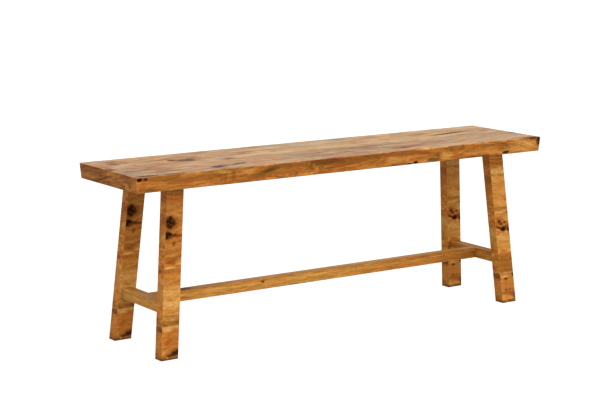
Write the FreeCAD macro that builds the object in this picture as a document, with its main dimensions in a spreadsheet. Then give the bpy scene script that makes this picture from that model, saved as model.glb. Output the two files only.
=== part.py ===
import FreeCAD, Part
import Sketcher
import math
import os

# A fixed bench in solid knotty hardwood, in millimetres.
# Two thick boards, glued edge to edge, make the seat. Four straight legs splay outward along and across
# the bench. An end stretcher ties each pair of legs, and a long stretcher ties the two end stretchers.
# Every joint is a hidden, glued mortise and tenon; dowels keep the two seat boards level.
# X runs along the bench, Y across it with the front at -Y, and Z up. The origin is on the floor, under the
# middle of the seat.

PARTS_FOLDER = "parts"

SIZES = {
    # seat
    "seat_length": 1300,
    "board_width": 150,
    "seat_thickness": 40,
    "seat_height": 470,
    "undercut": 3,  # how far the underside stands back from the top, at the ends and long sides
    "seat_arris": 1.5,
    # legs, section square to the leg's own axis
    "leg_width": 49,
    "leg_thickness": 32,
    "leg_end_inset": 132,  # end of the seat to the leg's axis, at the underside of the seat
    "leg_side_inset": 55,  # long side of the seat to the leg's axis, there too
    "splay_along": 5.15,  # degrees
    "splay_across": 3.6,  # degrees
    "leg_arris": 1.5,
    # stretchers
    "stretcher_level": 112,  # floor to the underside of the stretchers
    "end_stretcher_thickness": 32,
    "end_stretcher_height": 28,
    "long_stretcher_thickness": 32,
    "long_stretcher_height": 28,
    "stretcher_arris": 1.5,
    # tenon on top of each leg
    "leg_tenon_width": 34,
    "leg_tenon_thickness": 14,
    "leg_tenon_length": 26,
    # tenons on the end stretchers, into the legs
    "end_tenon_thickness": 12,
    "end_tenon_height": 20,
    "end_tenon_length": 20,
    # tenons on the long stretcher, into the end stretchers
    "long_tenon_thickness": 20,
    "long_tenon_height": 12,
    "long_tenon_length": 19,
    # dowels in the seat's glued joint
    "dowel_diameter": 12,
    "dowel_length": 80,
    "dowel_chamfer": 1.5,
    "dowel_count": 6,
    "dowel_end_distance": 100,  # end of the seat to the first dowel
    # fits
    "cheek_clearance": 0.1,  # on each side of a tenon or round a dowel
    "glue_space": 1,  # beyond the end of a tenon or dowel
    "saw_stock": 40,  # left on a blank beyond its cut
}

# Places that several pieces share, as expressions in the sheet's names
SEAT_UNDERSIDE = "(sizes.seat_height - sizes.seat_thickness)"
LEG_X = "(sizes.seat_length / 2 - sizes.leg_end_inset)"
LEG_Y = "(sizes.board_width - sizes.leg_side_inset)"
SLOPE_ALONG = "tan(sizes.splay_along)"
SLOPE_ACROSS = "(tan(sizes.splay_across) / cos(sizes.splay_along))"
LEG_AXIS_LENGTH = f"({SEAT_UNDERSIDE} / (cos(sizes.splay_along) * cos(sizes.splay_across)))"
END_STRETCHER_MIDDLE = "(sizes.stretcher_level + sizes.end_stretcher_height / 2)"
LONG_STRETCHER_MIDDLE = "(sizes.stretcher_level + sizes.long_stretcher_height / 2)"
END_STRETCHER_DROP = f"({SEAT_UNDERSIDE} - {END_STRETCHER_MIDDLE})"
END_STRETCHER_X = f"({LEG_X} + {SLOPE_ALONG} * {END_STRETCHER_DROP})"
LEG_INNER_FACE_Y = (
    f"({LEG_Y} + {SLOPE_ACROSS} * {END_STRETCHER_DROP}"
    " - sizes.leg_thickness / (2 * cos(sizes.splay_across)))"
)
LONG_SHOULDER_X = f"({END_STRETCHER_X} - sizes.end_stretcher_thickness / 2)"
DOWEL_FIRST_X = "(sizes.seat_length / 2 - sizes.dowel_end_distance)"

NO_TURN = "rotation(vector(0; 0; 1); 0)"

# How each origin plane of a body turns a place in the body's frame into the plane's own frame
PLANE_FRAMES = {
    "XY_Plane": lambda x, y, z: (x, y, z),
    "XZ_Plane": lambda x, y, z: (x, z, f"-({y})"),
    "YZ_Plane": lambda x, y, z: (y, z, x),
}

# Directions along and across the bench
ALONG = FreeCAD.Vector(1, 0, 0)
ACROSS = FreeCAD.Vector(0, 1, 0)
UP = FreeCAD.Vector(0, 0, 1)

# Two things nearer than this, in millimetres, or directions nearer than this, in radians, are the same
TOUCH = 0.01

# The volume, in cubic millimetres, that a pocket has to take away at least
LEAST_CUT = 1

ENDS = {"left": -1, "right": 1}
SIDES = {"front": -1, "back": 1}


def make_sheet(doc):
    """Spreadsheet with one driving size in each row."""
    sheet = doc.addObject("Spreadsheet::Sheet", "sizes")
    for row, (name, value) in enumerate(SIZES.items(), start=1):
        sheet.set(f"A{row}", name)
        sheet.set(f"B{row}", str(value))
        sheet.setAlias(f"B{row}", name)
    return sheet


def make_body(doc, name, place):
    """Body whose frame stands at a place in the bench, given as three expressions."""
    body = doc.addObject("PartDesign::Body", name)
    body.Label = name
    for axis, expression in zip("xyz", place):
        body.setExpression(f"Placement.Base.{axis}", expression)
    return body


def leg_tilt(end, side):
    """Turn from upright to the axis of the leg at one end and side of the bench."""
    across = f"rotation(vector(1; 0; 0); {side} * sizes.splay_across)"
    along = f"rotation(vector(0; 1; 0); {-end} * sizes.splay_along)"
    return f"{along} * {across}"


def leg_axis(end, side):
    """Direction of the same leg's axis, read from the sheet's values."""
    across = FreeCAD.Rotation(ALONG, side * SIZES["splay_across"])
    along = FreeCAD.Rotation(ACROSS, -end * SIZES["splay_along"])
    return (along * across).multVec(UP)


def runs_along(direction):
    """Test for straight edges that lie along a direction, either way."""

    def is_along(edge):
        start, stop = edge.Vertexes[0].Point, edge.Vertexes[-1].Point
        return (stop - start).cross(direction).Length < TOUCH * (stop - start).Length

    return is_along


def add_sketch(body, name, plane_role, place=("0", "0", "0"), turn=NO_TURN, then=None):
    """Empty sketch on one of the body's own planes, at a place and turn in the body's frame."""
    sketch = body.newObject("Sketcher::SketchObject", name)
    plane = next(item for item in body.Origin.OriginFeatures if item.Role == plane_role)
    sketch.AttachmentSupport = (plane, [""])
    sketch.MapMode = "FlatFace"
    x, y, z = PLANE_FRAMES[plane_role](*place)
    offset = f"placement(vector({x}; {y}; {z}); {turn})"
    if then:
        offset += f" * {then}"
    sketch.setExpression("AttachmentOffset", offset)
    return sketch


def draw_outline(sketch, corners):
    """Closed outline of straight lines, with each corner tied to the sheet by its two coordinates."""
    count = len(corners)
    turns = [2 * math.pi * index / count for index in range(count)]
    points = [FreeCAD.Vector(10 * math.cos(turn), 10 * math.sin(turn), 0) for turn in turns]
    for index in range(count):
        line = Part.LineSegment(points[index], points[(index + 1) % count])
        sketch.addGeometry(line, False)
    for index in range(count):
        sketch.addConstraint(Sketcher.Constraint("Coincident", index, 2, (index + 1) % count, 1))
    for index, (x, y) in enumerate(corners):
        for kind, label, start, expression in (
            ("DistanceX", "across", points[index].x, x),
            ("DistanceY", "up", points[index].y, y),
        ):
            number = sketch.addConstraint(Sketcher.Constraint(kind, -1, 1, index, 1, start))
            sketch.renameConstraint(number, f"corner_{index}_{label}")
            sketch.setExpression(f"Constraints.corner_{index}_{label}", expression)


def draw_rectangle(sketch, width, height):
    """Rectangle about the sketch's origin."""
    x = f"({width}) / 2"
    y = f"({height}) / 2"
    draw_outline(sketch, [(f"-{x}", f"-{y}"), (x, f"-{y}"), (x, y), (f"-{x}", y)])


def draw_circle(sketch, diameter):
    """Circle about the sketch's origin."""
    circle = Part.Circle(FreeCAD.Vector(0, 0, 0), FreeCAD.Vector(0, 0, 1), 5)
    sketch.addGeometry(circle, False)
    sketch.addConstraint(Sketcher.Constraint("Coincident", 0, 3, -1, 1))
    number = sketch.addConstraint(Sketcher.Constraint("Diameter", 0, 10))
    sketch.renameConstraint(number, "diameter")
    sketch.setExpression("Constraints.diameter", diameter)


def add_pad(body, name, sketch, length, back_length=None, symmetric=False):
    """Pad along the sketch's normal, also behind the sketch where back_length is given."""
    pad = body.newObject("PartDesign::Pad", name)
    pad.Profile = sketch
    pad.setExpression("Length", length)
    if symmetric:
        pad.SideType = "Symmetric"
    elif back_length:
        pad.SideType = "Two sides"
        pad.setExpression("Length2", back_length)
    return pad


def add_pocket(body, name, sketch, towards_normal, depth=None):
    """Pocket to one side of its sketch, right through unless a depth is given."""
    pocket = body.newObject("PartDesign::Pocket", name)
    pocket.Profile = sketch
    pocket.Reversed = towards_normal
    if depth:
        pocket.setExpression("Length", depth)
    else:
        pocket.Type = "ThroughAll"
    return pocket


def ease_edges(body, name, base, radius, is_eased):
    """Rounded arrises on the edges of the base feature that is_eased picks."""
    body.Document.recompute()
    edges = [f"Edge{number}" for number, edge in enumerate(base.Shape.Edges, start=1) if is_eased(edge)]
    fillet = body.newObject("PartDesign::Fillet", name)
    fillet.Base = (base, edges)
    fillet.setExpression("Radius", radius)
    return fillet


def repeat_dowel(body, name, feature, sketch):
    """Copies of one feature along the seat's glued joint, one for each dowel."""
    pattern = body.newObject("PartDesign::LinearPattern", name)
    pattern.Originals = [feature]
    pattern.Direction = (sketch, ["H_Axis"])
    pattern.setExpression("Length", f"2 * {DOWEL_FIRST_X}")
    pattern.setExpression("Occurrences", "sizes.dowel_count")
    body.Tip = pattern
    return pattern


def make_seat_board(doc, side_name):
    """One seat board: undercut at both ends and its outer side, mortised for two legs, bored for dowels."""
    side = SIDES[side_name]
    body = make_body(doc, f"seat_board_{side_name}", ("0", "0", SEAT_UNDERSIDE))

    section = add_sketch(body, "section", "YZ_Plane")
    outer = f"{side} * sizes.board_width"
    outer_below = f"{side} * (sizes.board_width - sizes.undercut)"
    draw_outline(
        section,
        [("0", "0"), (outer_below, "0"), (outer, "sizes.seat_thickness"), ("0", "sizes.seat_thickness")],
    )
    add_pad(body, "plank", section, "sizes.seat_length + 2 * sizes.saw_stock", symmetric=True)

    for end_name, end in ENDS.items():
        waste = add_sketch(body, f"{end_name}_end_line", "XZ_Plane")
        far = f"{end} * (sizes.seat_length / 2 + 2 * sizes.saw_stock)"
        # the cut runs one thickness past the plank, above and below, on the undercut's own slope
        draw_outline(
            waste,
            [
                (f"{end} * (sizes.seat_length / 2 - 2 * sizes.undercut)", "-sizes.seat_thickness"),
                (far, "-sizes.seat_thickness"),
                (far, "2 * sizes.seat_thickness"),
                (f"{end} * (sizes.seat_length / 2 + sizes.undercut)", "2 * sizes.seat_thickness"),
            ],
        )
        cut = add_pocket(body, f"{end_name}_end_cut", waste, False)
        cut.SideType = "Symmetric"

    # every edge is eased except those of the glued joint, which lies in the plane y = 0
    ease_edges(
        body,
        "eased_edges",
        cut,
        "sizes.seat_arris",
        lambda edge: any(abs(vertex.Y) > TOUCH for vertex in edge.Vertexes),
    )

    for end_name, end in ENDS.items():
        # the sketch lies on the floor of the mortise, square to the leg's axis
        floor = add_sketch(
            body,
            f"{end_name}_mortise_floor",
            "XY_Plane",
            (f"{end} * {LEG_X}", f"{side} * {LEG_Y}", "0"),
            leg_tilt(end, side),
            f"placement(vector(0; 0; sizes.leg_tenon_length + sizes.glue_space); {NO_TURN})",
        )
        draw_rectangle(
            floor,
            "sizes.leg_tenon_width + 2 * sizes.cheek_clearance",
            "sizes.leg_tenon_thickness + 2 * sizes.cheek_clearance",
        )
        add_pocket(body, f"{end_name}_mortise", floor, False)

    mouth = add_sketch(
        body, "dowel_hole_mouth", "XZ_Plane", (f"-{DOWEL_FIRST_X}", "0", "sizes.seat_thickness / 2")
    )
    draw_circle(mouth, "sizes.dowel_diameter + 2 * sizes.cheek_clearance")
    hole = add_pocket(
        body, "dowel_hole", mouth, side < 0, "sizes.dowel_length / 2 + sizes.glue_space"
    )
    doc.recompute()
    repeat_dowel(body, "dowel_holes", hole, mouth)
    return body


def make_dowels(doc):
    """Chamfered dowels across the seat's glued joint."""
    body = make_body(
        doc, "seat_joint_dowels", (f"-{DOWEL_FIRST_X}", "0", f"{SEAT_UNDERSIDE} + sizes.seat_thickness / 2")
    )
    profile = add_sketch(body, "profile", "XY_Plane")
    radius = "sizes.dowel_diameter / 2"
    end_radius = "(sizes.dowel_diameter / 2 - sizes.dowel_chamfer)"
    half = "sizes.dowel_length / 2"
    shoulder = "(sizes.dowel_length / 2 - sizes.dowel_chamfer)"
    draw_outline(
        profile,
        [
            ("0", f"-{half}"),
            (end_radius, f"-{half}"),
            (radius, f"-{shoulder}"),
            (radius, shoulder),
            (end_radius, half),
            ("0", half),
        ],
    )
    dowel = body.newObject("PartDesign::Revolution", "dowel")
    dowel.Profile = profile
    dowel.ReferenceAxis = (profile, ["V_Axis"])
    doc.recompute()
    repeat_dowel(body, "dowels", dowel, profile)
    return body


def make_leg(doc, end_name, side_name):
    """Straight leg with a compound splay: level cuts at seat and floor, and its tenon on its own axis."""
    end = ENDS[end_name]
    side = SIDES[side_name]
    tilt = leg_tilt(end, side)
    body = make_body(
        doc,
        f"leg_{side_name}_{end_name}",
        (f"{end} * {LEG_X}", f"{side} * {LEG_Y}", SEAT_UNDERSIDE),
    )

    section = add_sketch(body, "section", "XY_Plane", turn=tilt)
    draw_rectangle(section, "sizes.leg_width", "sizes.leg_thickness")
    bar = add_pad(body, "bar", section, "sizes.saw_stock", f"{LEG_AXIS_LENGTH} + sizes.saw_stock")
    ease_edges(body, "eased_edges", bar, "sizes.leg_arris", runs_along(leg_axis(end, side)))

    for name, level, upward in (("seat_cut", "0", True), ("floor_cut", f"-{SEAT_UNDERSIDE}", False)):
        waste = add_sketch(body, f"{name}_plane", "XY_Plane", ("0", "0", level))
        reach = f"4 * (sizes.leg_width + {SEAT_UNDERSIDE} * {SLOPE_ALONG})"
        draw_rectangle(waste, reach, reach)
        add_pocket(body, name, waste, upward)

    tenon = add_sketch(body, "tenon_section", "XY_Plane", turn=tilt)
    draw_rectangle(tenon, "sizes.leg_tenon_width", "sizes.leg_tenon_thickness")
    add_pad(body, "tenon", tenon, "sizes.leg_tenon_length", "sizes.leg_tenon_length")

    floor_y = f"{LEG_INNER_FACE_Y} + sizes.end_tenon_length + sizes.glue_space - {LEG_Y}"
    floor = add_sketch(
        body,
        "mortise_floor",
        "XZ_Plane",
        (f"{end} * {SLOPE_ALONG} * {END_STRETCHER_DROP}", f"{side} * ({floor_y})", f"-{END_STRETCHER_DROP}"),
    )
    draw_rectangle(
        floor,
        "sizes.end_tenon_thickness + 2 * sizes.cheek_clearance",
        "sizes.end_tenon_height + 2 * sizes.cheek_clearance",
    )
    add_pocket(body, "mortise", floor, side > 0)
    return body


def make_end_stretcher(doc, end_name):
    """Upright rail between two splayed legs: its shoulders lie on the legs' leaning inner faces."""
    end = ENDS[end_name]
    body = make_body(
        doc, f"end_stretcher_{end_name}", (f"{end} * {END_STRETCHER_X}", "0", END_STRETCHER_MIDDLE)
    )
    section = add_sketch(body, "section", "XZ_Plane")
    draw_rectangle(section, "sizes.end_stretcher_thickness", "sizes.end_stretcher_height")
    bar = add_pad(
        body, "bar", section, f"2 * ({LEG_INNER_FACE_Y} + sizes.saw_stock)", symmetric=True
    )
    ease_edges(body, "eased_edges", bar, "sizes.stretcher_arris", runs_along(ACROSS))

    for side_name, side in SIDES.items():
        # the leg's axis meets the seat here; its inner face is half a leg nearer the middle
        top_x = f"{end} * ({LEG_X} - {END_STRETCHER_X})"
        shoulder = add_sketch(
            body,
            f"{side_name}_shoulder_plane",
            "XY_Plane",
            (top_x, f"{side} * {LEG_Y}", END_STRETCHER_DROP),
            leg_tilt(end, side),
            f"placement(vector(0; {-side} * sizes.leg_thickness / 2; -{END_STRETCHER_DROP});"
            " rotation(vector(1; 0; 0); 90))",
        )
        reach = "4 * (sizes.end_stretcher_thickness + sizes.end_stretcher_height)"
        draw_rectangle(shoulder, reach, reach)
        add_pocket(body, f"{side_name}_shoulder", shoulder, side < 0)

    tenon = add_sketch(body, "tenon_section", "XZ_Plane")
    draw_rectangle(tenon, "sizes.end_tenon_thickness", "sizes.end_tenon_height")
    add_pad(
        body, "tenons", tenon, f"2 * ({LEG_INNER_FACE_Y} + sizes.end_tenon_length)", symmetric=True
    )

    floor_x = f"{-end} * (sizes.end_stretcher_thickness / 2 - sizes.long_tenon_length - sizes.glue_space)"
    floor = add_sketch(
        body,
        "mortise_floor",
        "YZ_Plane",
        (floor_x, "0", f"{LONG_STRETCHER_MIDDLE} - {END_STRETCHER_MIDDLE}"),
    )
    draw_rectangle(
        floor,
        "sizes.long_tenon_thickness + 2 * sizes.cheek_clearance",
        "sizes.long_tenon_height + 2 * sizes.cheek_clearance",
    )
    add_pocket(body, "mortise", floor, end < 0)
    return body


def make_long_stretcher(doc):
    """Rail along the bench, with square shoulders on the end stretchers' inner faces."""
    body = make_body(doc, "long_stretcher", ("0", "0", LONG_STRETCHER_MIDDLE))
    section = add_sketch(body, "section", "YZ_Plane")
    draw_rectangle(section, "sizes.long_stretcher_thickness", "sizes.long_stretcher_height")
    bar = add_pad(body, "bar", section, f"2 * {LONG_SHOULDER_X}", symmetric=True)
    ease_edges(body, "eased_edges", bar, "sizes.stretcher_arris", runs_along(ALONG))

    tenon = add_sketch(body, "tenon_section", "YZ_Plane")
    draw_rectangle(tenon, "sizes.long_tenon_thickness", "sizes.long_tenon_height")
    add_pad(
        body, "tenons", tenon, f"2 * ({LONG_SHOULDER_X} + sizes.long_tenon_length)", symmetric=True
    )
    return body


def check_model(doc, bodies):
    """Stops with a plain message where a feature failed, a pocket cut nothing or a shape isn't valid."""
    for item in doc.Objects:
        if "Invalid" in item.State or "Error" in item.State:
            raise RuntimeError(f"{item.Label} ({item.Name}) failed: {item.State}")
        if item.TypeId == "PartDesign::Pocket":
            if item.Shape.Volume >= item.BaseFeature.Shape.Volume - LEAST_CUT:
                raise RuntimeError(f"{item.Name} cuts nothing")
    for body in bodies:
        if body.Shape.isNull() or not body.Shape.isValid():
            raise RuntimeError(f"{body.Label} has no valid shape")


def main():
    doc = FreeCAD.newDocument("bench")
    make_sheet(doc)
    doc.recompute()
    bodies = [make_seat_board(doc, side_name) for side_name in SIDES]
    bodies.append(make_dowels(doc))
    bodies += [make_leg(doc, end_name, side_name) for end_name in ENDS for side_name in SIDES]
    bodies += [make_end_stretcher(doc, end_name) for end_name in ENDS]
    bodies.append(make_long_stretcher(doc))
    doc.recompute()
    check_model(doc, bodies)
    os.makedirs(PARTS_FOLDER, exist_ok=True)
    for body in bodies:
        body.Shape.exportStep(f"{PARTS_FOLDER}/{body.Label}.step")
        box = body.Shape.BoundBox
        print(
            f"{body.Label}: {len(body.Shape.Solids)} solids, {body.Shape.Volume:.0f} mm3,"
            f" {box.XLength:.1f} x {box.YLength:.1f} x {box.ZLength:.1f} mm"
        )


main()
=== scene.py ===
import math

import bpy
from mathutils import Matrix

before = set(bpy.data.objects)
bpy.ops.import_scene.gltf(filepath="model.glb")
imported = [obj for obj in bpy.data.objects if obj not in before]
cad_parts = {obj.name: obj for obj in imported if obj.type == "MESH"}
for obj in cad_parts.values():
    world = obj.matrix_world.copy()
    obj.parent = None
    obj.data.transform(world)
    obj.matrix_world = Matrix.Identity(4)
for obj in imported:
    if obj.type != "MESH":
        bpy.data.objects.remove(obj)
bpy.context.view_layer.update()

# Lengths in metres, angles in degrees. X runs along the bench, -Y is its front, Z is up.

CAMERA_PLACE = (-2.6252, -3.7775, 1.1378)
CAMERA_AZIMUTH = -34.27
CAMERA_ELEVATION = 9.97
CAMERA_LENS = 101.5  # millimetres, as is the sensor's width
CAMERA_SENSOR = 36.0

FLOOR_RADIUS = 120.0
FLOOR_ALBEDO = 0.13
FLOOR_GLOW = 0.93  # a light table: with the lamps on it, white even in the shade
SUN_ELEVATION = 50.0
SUN_AZIMUTH = 6.0  # towards +X, from straight in front
SUN_STRENGTH = 4.1
SUN_ANGLE = 90.0  # a large soft lamp
SKY_STRENGTH = 0.75
WAX_IOR = 1.08  # a thin dull wax: clear from in front, pale at a low angle

ENDS = {"left": -1, "right": 1}
SIDES = {"front": -1, "back": 1}


class Nodes:
    """Short way to write one node tree: each method adds a node and returns its output."""

    def __init__(self, tree):
        self.tree = tree

    def add(self, kind, inputs=(), **settings):
        node = self.tree.nodes.new(kind)
        for name, value in settings.items():
            setattr(node, name, value)
        for key, value in dict(inputs).items():
            self.feed(node.inputs[key], value)
        return node

    def feed(self, socket, value):
        if isinstance(value, bpy.types.NodeSocket):
            self.tree.links.new(value, socket)
        else:
            socket.default_value = value

    def math(self, operation, *values, clamp=False):
        node = self.add("ShaderNodeMath", operation=operation, use_clamp=clamp)
        for socket, value in zip(node.inputs, values):
            self.feed(socket, value)
        return node.outputs[0]

    def vector(self, operation, *values):
        node = self.add("ShaderNodeVectorMath", operation=operation)
        for socket, value in zip(node.inputs, values):
            self.feed(socket, value)
        scalar = operation in ("LENGTH", "DOT_PRODUCT")
        return node.outputs["Value" if scalar else "Vector"]

    def scale(self, vector, factor):
        return self.add("ShaderNodeVectorMath", {0: vector, "Scale": factor}, operation="SCALE").outputs[0]

    def centred(self, value, weight):
        """The value about 0 instead of about a half, times weight."""
        return self.math("MULTIPLY", self.math("SUBTRACT", value, 0.5), weight)

    def blend(self, factor, first, second):
        node = self.add("ShaderNodeMix", {0: factor, 2: first, 3: second})
        return node.outputs[0]

    def separate(self, vector):
        node = self.add("ShaderNodeSeparateXYZ", {"Vector": vector})
        return node.outputs

    def combine(self, x, y, z):
        node = self.add("ShaderNodeCombineXYZ", {"X": x, "Y": y, "Z": z})
        return node.outputs[0]

    def noise(self, vector, scale, detail=2.0, roughness=0.5, distortion=0.0):
        inputs = {"Vector": vector, "Scale": scale, "Detail": detail, "Roughness": roughness,
                  "Distortion": distortion}
        return self.add("ShaderNodeTexNoise", inputs).outputs[0]

    def line_noise(self, value, scale, detail=2.0, roughness=0.5):
        inputs = {"W": value, "Scale": scale, "Detail": detail, "Roughness": roughness}
        return self.add("ShaderNodeTexNoise", inputs, noise_dimensions="1D").outputs[0]

    def smooth(self, value, low, high, start=0.0, stop=1.0):
        inputs = {"Value": value, "From Min": low, "From Max": high, "To Min": start, "To Max": stop}
        return self.add("ShaderNodeMapRange", inputs, interpolation_type="SMOOTHSTEP").outputs[0]

    def ramp(self, value, stops):
        node = self.add("ShaderNodeValToRGB", {"Fac": value})
        elements = node.color_ramp.elements
        while len(elements) < len(stops):
            elements.new(0.5)
        for element, (place, colour) in zip(elements, stops):
            element.position = place
            element.color = (*colour, 1.0)
        return node.outputs["Color"]

    def mix(self, factor, first, second, blend="MIX"):
        node = self.add("ShaderNodeMix", data_type="RGBA", blend_type=blend)
        for key, value in ((0, factor), (6, first), (7, second)):
            if isinstance(value, tuple):
                value = (*value, 1.0)
            self.feed(node.inputs[key], value)
        return node.outputs[2]


def add_camera():
    camera = bpy.data.objects.new("camera", bpy.data.cameras.new("camera"))
    camera.data.lens = CAMERA_LENS
    camera.data.sensor_width = CAMERA_SENSOR
    camera.data.clip_end = 2 * FLOOR_RADIUS
    camera.location = CAMERA_PLACE
    camera.rotation_euler = (math.radians(90 - CAMERA_ELEVATION), 0, math.radians(CAMERA_AZIMUTH))
    bpy.context.scene.collection.objects.link(camera)
    bpy.context.scene.camera = camera


def add_lights():
    sun = bpy.data.objects.new("sun", bpy.data.lights.new("sun", "SUN"))
    sun.data.energy = SUN_STRENGTH
    sun.data.angle = math.radians(SUN_ANGLE)
    sun.rotation_euler = (math.radians(90 - SUN_ELEVATION), 0, math.radians(SUN_AZIMUTH))
    bpy.context.scene.collection.objects.link(sun)

    world = bpy.data.worlds.new("studio")
    world.use_nodes = True
    nodes = Nodes(world.node_tree)
    background = world.node_tree.nodes["Background"]
    seen = nodes.add("ShaderNodeLightPath").outputs["Is Camera Ray"]
    nodes.feed(background.inputs["Strength"], nodes.blend(seen, SKY_STRENGTH, 1.0))
    background.inputs["Color"].default_value = (1, 1, 1, 1)
    bpy.context.scene.world = world
    bpy.context.scene.view_settings.view_transform = "Standard"


def add_floor():
    mesh = bpy.data.meshes.new("floor")
    reach = FLOOR_RADIUS
    corners = [(-reach, -reach, 0), (reach, -reach, 0), (reach, reach, 0), (-reach, reach, 0)]
    mesh.from_pydata(corners, [], [(0, 1, 2, 3)])
    floor = bpy.data.objects.new("floor", mesh)
    bpy.context.scene.collection.objects.link(floor)
    material = bpy.data.materials.new("floor")
    material.use_nodes = True
    shader = material.node_tree.nodes["Principled BSDF"]
    shader.inputs["Base Color"].default_value = (FLOOR_ALBEDO, FLOOR_ALBEDO, FLOOR_ALBEDO, 1)
    shader.inputs["Roughness"].default_value = 1.0
    shader.inputs["Specular IOR Level"].default_value = 0.0
    shader.inputs["Emission Color"].default_value = (1, 1, 1, 1)
    shader.inputs["Emission Strength"].default_value = FLOOR_GLOW
    floor.data.materials.append(material)


MILLIMETRES = 1000.0  # per metre: the wood's pattern is laid out in millimetres

# Tones of oiled wood, from a knot's heart to pale sapwood
HEART = (0.010, 0.0022, 0.0006)
EMBER = (0.140, 0.038, 0.006)
GARNET = (0.050, 0.004, 0.0006)
DARK = (0.060, 0.016, 0.003)
DEEP = (0.105, 0.033, 0.0055)
BROWN = (0.165, 0.053, 0.0085)
AMBER = (0.240, 0.080, 0.0135)
GOLDEN = (0.300, 0.114, 0.021)
HONEY = (0.355, 0.162, 0.036)
PALE = (0.420, 0.232, 0.075)
OLIVE = (0.160, 0.060, 0.0085)
MOSS = (0.085, 0.036, 0.006)
RUSSET = (0.185, 0.046, 0.006)
ORANGE = (0.320, 0.106, 0.017)
STRAW = (0.325, 0.158, 0.036)
DUST_AND_SHEEN = (0.420, 0.350, 0.235)  # the pale top: partly a dry, worn surface, partly a painted sheen
REDDER = (1.07, 0.88, 0.78)  # the wood drifts between these two hues from place to place
YELLOWER = (0.95, 1.13, 1.28)

# A ramp's stops: the place of each tone between 0 and 1
TONES = [(0.10, DEEP), (0.30, BROWN), (0.46, AMBER), (0.60, GOLDEN), (0.76, HONEY), (0.95, PALE)]
HUES = [(0.36, REDDER), (0.64, YELLOWER)]
MOTTLE = [(0.49, HEART), (0.68, EMBER)]

# Looks of the three kinds of piece: sizes are in millimetres, and the rest are weights.
# centre is the mean tone, and tint the colour of the finish. fibre draws the grain out along X, Y and Z.
# warp is how far the figure wanders. Each other size stands before its weight: zone for the broad tones,
# band and line for the growth rings, and fleck for the fibres. relief is how much the rings show through
# stains, and the last weight how much the upper face is paled: partly dry, dusty wear, partly a painted sheen.
SEAT_LOOK = {
    "centre": 0.46, "tint": (1.0, 1.0, 0.97), "fibre": (0.16, 1.0, 1.0), "warp": 90.0,
    "zone": 18.0, "zones": 1.45, "band": 17.0, "bands": 0.85, "line": 6.0, "lines": 0.15,
    "fleck": 4.5, "fine": 0.6, "relief": 0.65, "dust_and_sheen": 0.30,
}
LEG_LOOK = {
    "centre": 0.54, "tint": (1.02, 1.0, 0.92), "fibre": (0.40, 0.7, 1.0), "warp": 34.0,
    "zone": 17.0, "zones": 1.35, "band": 15.0, "bands": 0.85, "line": 6.0, "lines": 0.14,
    "fleck": 5.0, "fine": 0.6, "relief": 0.6, "dust_and_sheen": 0.0,
}
RAIL_LOOK = {
    "centre": 0.63, "tint": (1.0, 1.0, 0.88), "fibre": (0.10, 1.0, 1.0), "warp": 22.0,
    "zone": 16.0, "zones": 0.9, "band": 9.0, "bands": 0.6, "line": 4.0, "lines": 0.10,
    "fleck": 3.0, "fine": 1.0, "relief": 0.6, "dust_and_sheen": 0.0,
}

# Faces that look along X show another cut of the wood: end grain on the seat, a plainer figure on the legs.
# stretch and lean draw it out and tilt it, grain and spread are its size and weight, and pores the weight
# of its small dots.
SEAT_CROSS = {
    "centre": 0.40, "tint": (1.0, 1.0, 1.0), "stretch": (1.0, 0.17, 1.0), "lean": 0.14,
    "grain": 9.0, "spread": 1.8, "pores": 0.40,
}
LEG_CROSS = {
    "centre": 0.63, "tint": (1.06, 0.93, 0.62), "stretch": (1.0, 0.40, 1.0), "lean": 0.1,
    "grain": 8.0, "spread": 1.3, "pores": 0.0,
}

# Detail and roughness of the noises, and for the last one its distortion
WARP_NOISE = (3.0, 0.5)
BAND_NOISE = (4.0, 0.6)
LINE_NOISE = (1.0, 0.5)
ZONE_NOISE = (3.0, 0.55)
DUST_SHEEN_NOISE = (4.0, 0.62)
FLECK_NOISE = (4.0, 0.72)
MOTTLE_NOISE = (3.0, 0.6)
CROSS_NOISE = (3.0, 0.6, 0.4)

WARP_RATE = 0.7  # of the zones' own
ZONE_OFFSET = (310.0, 170.0, 90.0)  # far apart, so that the patterns don't follow each other
HUE_OFFSET = (70.0, 410.0, 230.0)
HUE_SIZE = 26.0
LINE_EDGE = (0.46, 0.30)  # noise where a growth line begins, and where it is whole
BROAD_RATE = 0.3  # of the cross cut's own grain
BROAD_SPREAD = 0.8
PORE_SIZE = 1.6

# Outlines of knots and stains: the size and depth of their ripples, and the distances, in their own radii,
# where each part begins and where it is whole
RIPPLES = ((10.0, 0.9), (4.0, 0.4))
EVEN_RIPPLE = 0.3  # part of the ripples that the figure round a knot follows
HEART_EDGE = (1.12, 0.86)
HALO_EDGE = (2.1, 0.9)
LIFT_EDGE = (3.4, 0.0)
STAIN_EDGE = (1.40, 0.50)
RING_WAVES = 12.0  # radians in a radius
RING_WEIGHT = 0.006  # for each millimetre that the figure is lifted
HALO_STRENGTH = 0.65
RIM_EDGE = (0.62, 0.98)  # of the halo, where the dark rim of the heart begins, and where it is whole
RIM_STRENGTH = 0.80
MOTTLE_SIZE = 8.0

TURNED = (0.6, 0.9)  # of the normal, where a face begins to count as turned that way, and where it does
ALONG = (1.0, 0.0, 0.0)
# Pale wash on the faces that look up: partly dust, partly a painted sheen
DUST_SHEEN_STRETCH = (0.4, 1.0, 1.0)
DUST_SHEEN_SIZE = 24.0
DUST_SHEEN_CONTRAST = 3.8
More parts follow.
